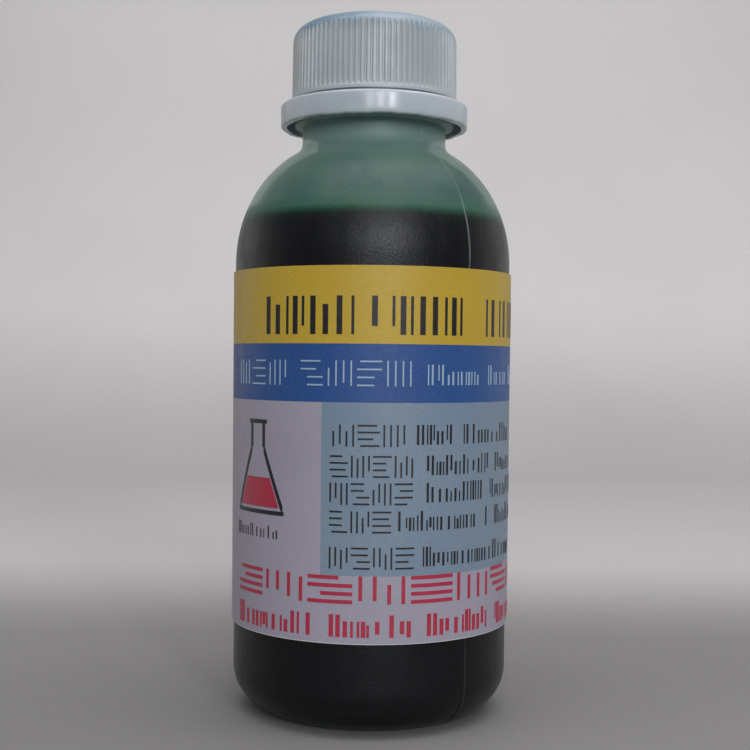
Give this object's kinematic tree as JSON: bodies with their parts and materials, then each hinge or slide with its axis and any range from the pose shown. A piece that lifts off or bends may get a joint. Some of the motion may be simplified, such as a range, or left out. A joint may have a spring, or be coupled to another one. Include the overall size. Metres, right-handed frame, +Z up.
{
  "type": "dropper bottle",
  "caption": "Round plastic squeeze bottle with a press-in dropper plug, ribbed screw cap, tamper-evident band and wrap-round label, filled with dark green indicator.",
  "frame": {"origin": "centre of the base, on the surface the bottle stands on", "axes": "+Z up along the bottle's axis; -Y is the front, where the label's print begins"},
  "size_m": [0.0446, 0.0446, 0.1092],
  "materials": {
    "natural_plastic": "satin",
    "plug_plastic": "satin",
    "liner_foam": "matte",
    "cap_plastic": "satin",
    "band_plastic": "gloss",
    "printed_label": "satin",
    "indicator": "gloss"
  },
  "bodies": {
    "bottle": {"bottle_body": "natural_plastic", "dropper_plug": "plug_plastic", "dropper_nozzle": "plug_plastic", "label": "printed_label", "indicator_liquid": "indicator"},
    "liner": {"cap_liner": "liner_foam"},
    "cap": {"screw_cap": "cap_plastic"},
    "band": {"tamper_band": "band_plastic"}
  },
  "joints": [
    {"name": "cap_lift", "type": "slide", "parent": "bottle", "child": "liner", "axis": [0, 0, 1], "range_m": [0, 0.0128]},
    {"name": "cap_turn", "type": "hinge", "parent": "liner", "child": "cap", "pos_m": [0, 0, 0.1], "axis": [0, 0, 1], "range_deg": [0, 1440]},
    {"name": "band_turn", "type": "hinge", "parent": "bottle", "child": "band", "pos_m": [0, 0, 0.095], "axis": [0, 0, 1], "continuous": true}
  ],
  "couplings": [
    {"joint": "cap_lift", "follows": "cap_turn", "m_per_rad": 0.00050532}
  ]
}
